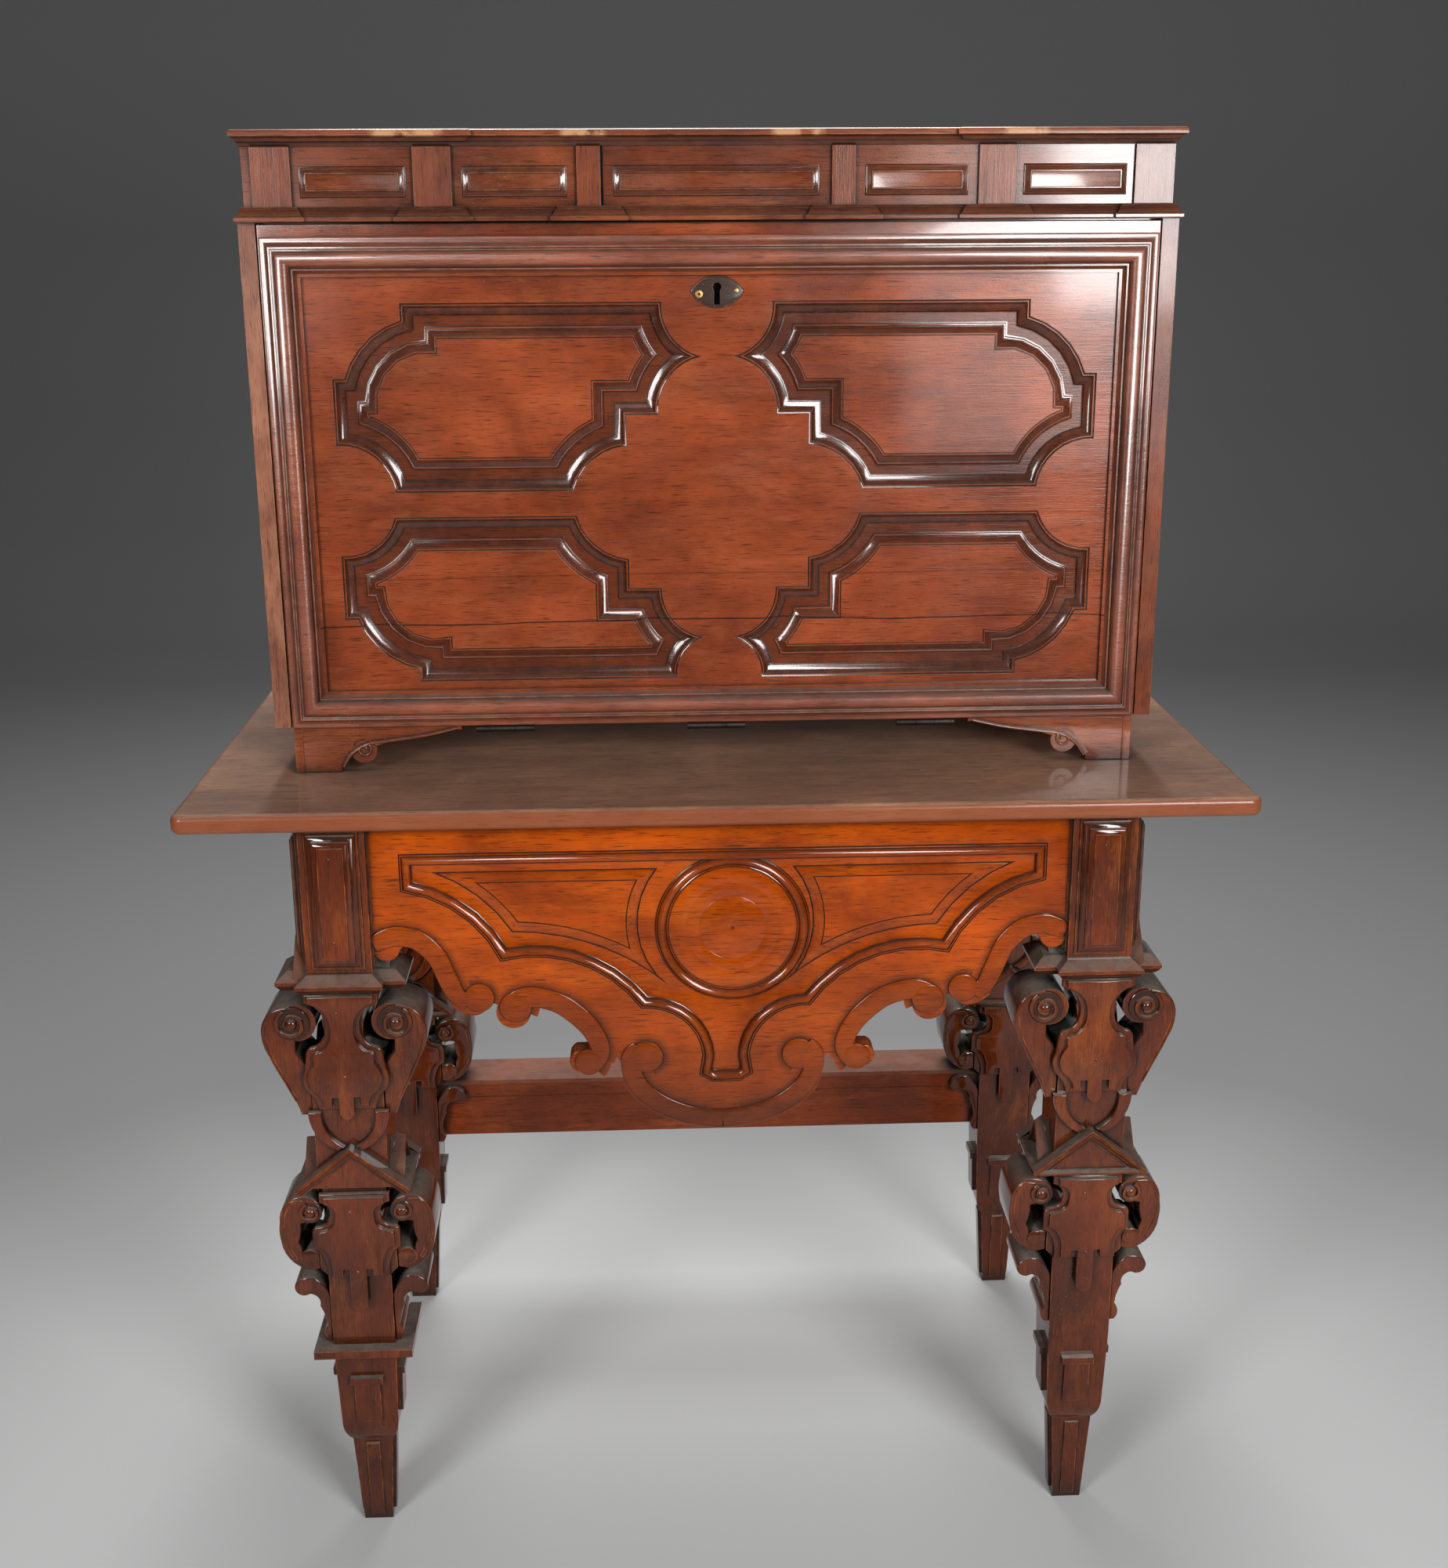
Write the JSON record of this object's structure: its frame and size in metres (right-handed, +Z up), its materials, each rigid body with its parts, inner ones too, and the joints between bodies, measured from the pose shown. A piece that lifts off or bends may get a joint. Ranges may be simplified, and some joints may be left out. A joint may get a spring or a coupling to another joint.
{
  "type": "vargueno",
  "caption": "Carved fall-front writing chest with a hinged box lid and hidden drawers, on a table with scroll-bracket legs and a shaped apron.",
  "frame": {"origin": "on the floor, under the middle of the table top", "axes": "+Z up, front face towards -Y, +X to the viewer's right"},
  "size_m": [1.176, 0.61, 1.6065],
  "materials": {
    "case_wood": "worn satin varnish on dark reddish-brown hardwood",
    "apron_wood": "glossy orange-brown varnished hardwood",
    "drawer_wood": "dry satin hardwood",
    "iron": "dark forged iron, dull",
    "brass": "worn brass"
  },
  "bodies": {
    "stand_and_case": {"apron_back": "apron_wood", "apron_front": "apron_wood", "apron_left": "apron_wood", "apron_right": "apron_wood", "bracket_feet": "case_wood", "case_back": "case_wood", "case_bottom": "case_wood", "case_side_left": "case_wood", "case_side_right": "case_wood", "case_top": "case_wood", "cupboard_door": "drawer_wood", "drawer_centre": "drawer_wood", "drawer_knobs": "drawer_wood", "drawer_left_bottom": "drawer_wood", "drawer_left_middle": "drawer_wood", "drawer_left_top": "drawer_wood", "drawer_right_bottom": "drawer_wood", "drawer_right_middle": "drawer_wood", "drawer_right_top": "drawer_wood", "fall_hinge_case_leaves": "iron", "fall_hinge_pins": "iron", "leg_front_left": "case_wood", "leg_front_left_pediments": "case_wood", "leg_front_left_scrolls": "case_wood", "leg_front_left_shields": "case_wood", "leg_front_right": "case_wood", "leg_front_right_pediments": "case_wood", "leg_front_right_scrolls": "case_wood", "leg_front_right_shields": "case_wood", "leg_rear_left": "case_wood", "leg_rear_left_pediments": "case_wood", "leg_rear_left_scrolls": "case_wood", "leg_rear_left_shields": "case_wood", "leg_rear_right": "case_wood", "leg_rear_right_pediments": "case_wood", "leg_rear_right_scrolls": "case_wood", "leg_rear_right_shields": "case_wood", "lid_hinge_case_leaves": "iron", "lid_hinge_pins": "iron", "nest_boards": "drawer_wood", "stretcher": "case_wood", "table_top": "case_wood"},
    "fall_front": {"fall_panel": "case_wood", "fall_moulding": "case_wood", "escutcheon": "iron", "escutcheon_nails": "brass", "lock_case": "iron", "fall_hinge_fall_leaves": "iron"},
    "box_lid": {"lid_frieze": "case_wood", "lid_walls": "case_wood", "lid_top": "case_wood", "lid_cornice": "case_wood", "lid_base_moulding": "case_wood", "lid_break_blocks": "case_wood", "lid_pilasters": "case_wood", "lid_panels": "case_wood", "lid_hinge_lid_leaves": "iron"},
    "bolt": {"lock_bolt": "iron"}
  },
  "joints": [
    {"name": "fall_hinge", "type": "hinge", "parent": "stand_and_case", "child": "fall_front", "pos_m": [0, -0.146, 0.9615], "axis": [1, 0, 0], "range_deg": [0, 90]},
    {"name": "lid_hinge", "type": "hinge", "parent": "stand_and_case", "child": "box_lid", "pos_m": [0, 0.2983, 1.51425], "axis": [-1, 0, 0], "range_deg": [0, 100]},
    {"name": "bolt_slide", "type": "slide", "parent": "fall_front", "child": "bolt", "axis": [0, 0, 1], "range_m": [0, 0.008]}
  ]
}
